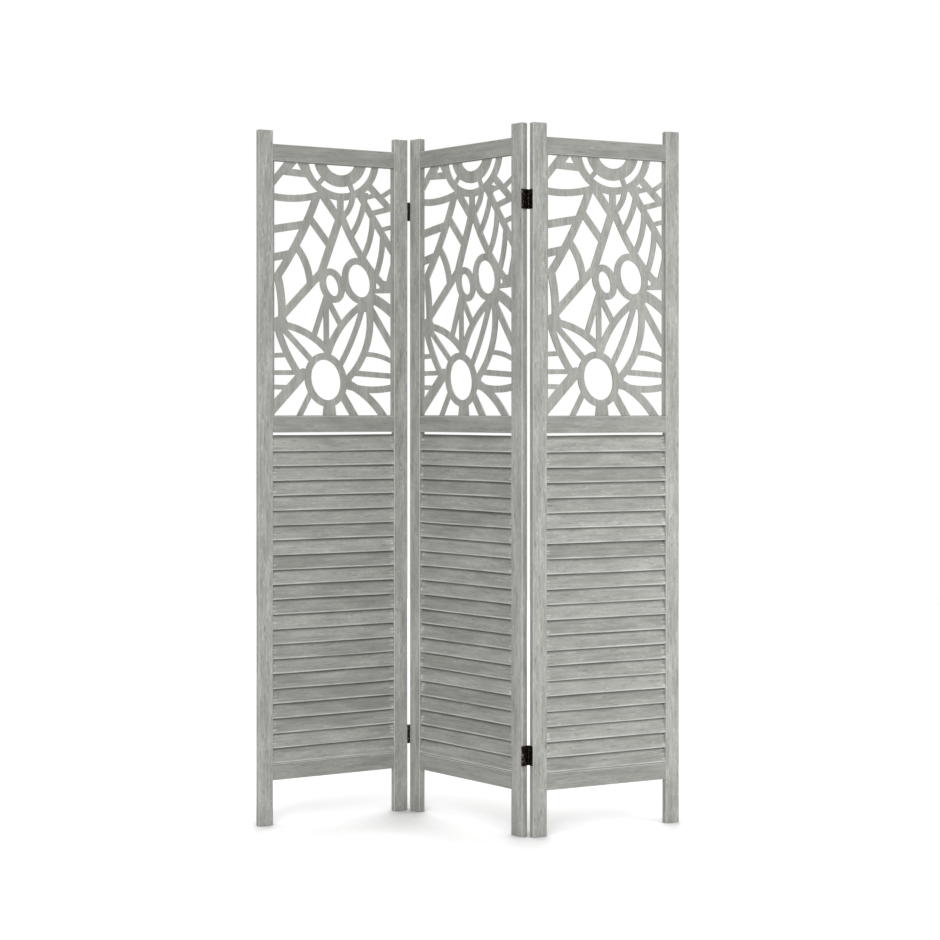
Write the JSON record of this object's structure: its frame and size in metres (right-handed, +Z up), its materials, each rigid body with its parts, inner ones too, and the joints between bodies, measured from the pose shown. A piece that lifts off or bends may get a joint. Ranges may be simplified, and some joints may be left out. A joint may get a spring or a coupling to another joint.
{
  "type": "folding screen",
  "caption": "Free-standing folding room screen: hinged wooden panels, each with louvre slats below and a floral fretwork sheet above, that stand in a zigzag or fold flat.",
  "frame": {"origin": "on the floor under the centre of the standing screen's outline", "axes": "+Z up, -Y towards the louvred fronts, +X to the viewer's right, along the zigzag"},
  "size_m": [1.014, 0.2622, 1.7],
  "materials": {
    "frame_wood": "grey-washed, brushed",
    "slat_wood": "grey-washed, brushed",
    "fretwork_sheet": "grey-washed fibreboard",
    "hinge_metal": "antique bronze",
    "pin_steel": "dulled"
  },
  "bodies": {
    "middle_panel": {"middle_panel_left_stile": "frame_wood", "middle_panel_right_stile": "frame_wood", "middle_panel_bottom_rail": "frame_wood", "middle_panel_middle_rail": "frame_wood", "middle_panel_top_rail": "frame_wood", "middle_panel_louvre_slats": "slat_wood", "middle_panel_fretwork": "fretwork_sheet", "left_upper_hinge_middle_leaf": "hinge_metal", "left_upper_hinge_link": "hinge_metal", "left_upper_hinge_pins": "pin_steel", "left_lower_hinge_middle_leaf": "hinge_metal", "left_lower_hinge_link": "hinge_metal", "left_lower_hinge_pins": "pin_steel", "right_upper_hinge_middle_leaf": "hinge_metal", "right_upper_hinge_link": "hinge_metal", "right_upper_hinge_pins": "pin_steel", "right_lower_hinge_middle_leaf": "hinge_metal", "right_lower_hinge_link": "hinge_metal", "right_lower_hinge_pins": "pin_steel"},
    "left_panel": {"left_panel_left_stile": "frame_wood", "left_panel_right_stile": "frame_wood", "left_panel_bottom_rail": "frame_wood", "left_panel_middle_rail": "frame_wood", "left_panel_top_rail": "frame_wood", "left_panel_louvre_slats": "slat_wood", "left_panel_fretwork": "fretwork_sheet", "left_upper_hinge_outer_leaf": "hinge_metal", "left_lower_hinge_outer_leaf": "hinge_metal"},
    "right_panel": {"right_panel_left_stile": "frame_wood", "right_panel_right_stile": "frame_wood", "right_panel_bottom_rail": "frame_wood", "right_panel_middle_rail": "frame_wood", "right_panel_top_rail": "frame_wood", "right_panel_louvre_slats": "slat_wood", "right_panel_fretwork": "fretwork_sheet", "right_upper_hinge_outer_leaf": "hinge_metal", "right_lower_hinge_outer_leaf": "hinge_metal"}
  },
  "joints": [
    {"name": "left_fold", "type": "hinge", "parent": "middle_panel", "child": "left_panel", "pos_m": [-0.17597, 0.11159, 0], "axis": [0, 0, 1], "range_deg": [-73.4, 106.6]},
    {"name": "right_fold", "type": "hinge", "parent": "middle_panel", "child": "right_panel", "pos_m": [0.16403, -0.10947, 0], "axis": [0, 0, 1], "range_deg": [-70.3, 109.7]}
  ]
}
